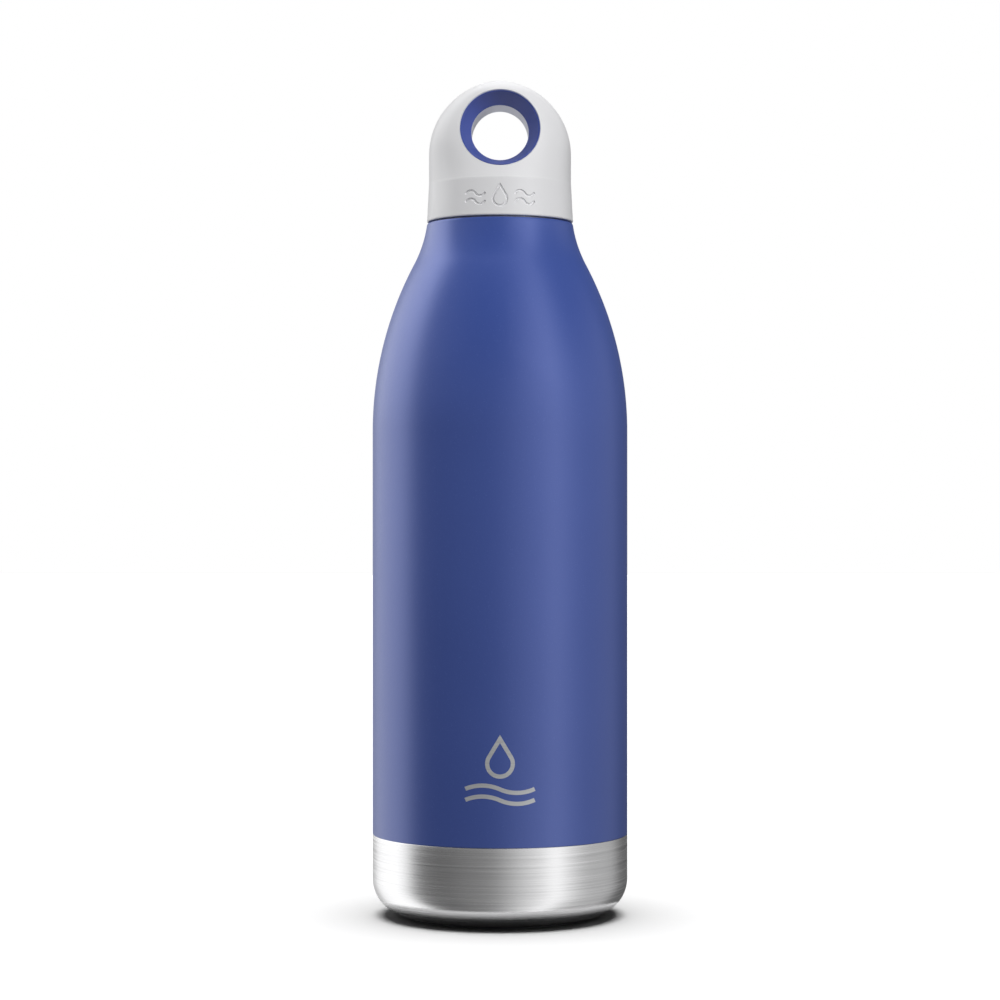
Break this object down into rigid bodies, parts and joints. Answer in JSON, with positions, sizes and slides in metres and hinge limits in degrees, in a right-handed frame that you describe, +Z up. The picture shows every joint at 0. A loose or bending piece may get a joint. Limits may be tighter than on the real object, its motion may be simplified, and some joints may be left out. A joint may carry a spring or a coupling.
{
  "type": "insulated water bottle",
  "caption": "Insulated steel water bottle with a long shoulder, bare metal base band and a screw cap rising into a round-holed carrying loop.",
  "frame": {"origin": "centre of the foot, on the ground", "axes": "+Z up along the bottle's axis; the loop's hole runs along Y and the front faces -Y"},
  "size_m": [0.073, 0.073, 0.238],
  "materials": {
    "powder_coat": "fine matt powder coat",
    "steel": "brushed round the axis",
    "cap_plastic": "satin moulded plastic",
    "bezel_plastic": "satin moulded plastic",
    "silicone": "soft matt",
    "foot_rubber": "soft matt",
    "glass_bead": "melted frit",
    "adhesive": "foam tape",
    "getter_pellet": "pressed powder",
    "copper": "bright foil",
    "foam": "closed-cell foam"
  },
  "bodies": {
    "bottle": {"outer_shell": "powder_coat", "base_cup": "steel", "tip_seal": "glass_bead", "cover_adhesive": "adhesive", "base_cover": "steel", "foot_ring": "foot_rubber", "getter_clip": "steel", "getter": "getter_pellet", "liner": "steel", "liner_bottom": "steel", "foil_wrap": "copper", "foil_disc": "copper", "mouth_ring": "steel"},
    "seal": {"gasket": "silicone"},
    "cap": {"cap_shell": "cap_plastic", "front_bezel": "bezel_plastic", "rear_bezel": "bezel_plastic", "stopper": "cap_plastic", "stopper_foam": "foam", "stopper_disc": "cap_plastic"}
  },
  "joints": [
    {"name": "cap_lift", "type": "slide", "parent": "bottle", "child": "seal", "axis": [0, 0, 1], "range_m": [0, 0.02001]},
    {"name": "cap_turn", "type": "hinge", "parent": "seal", "child": "cap", "pos_m": [0, 0, 0.2], "axis": [0, 0, 1], "range_deg": [0, 1800]}
  ],
  "couplings": [
    {"joint": "cap_lift", "follows": "cap_turn", "m_per_rad": 0.00063662}
  ]
}
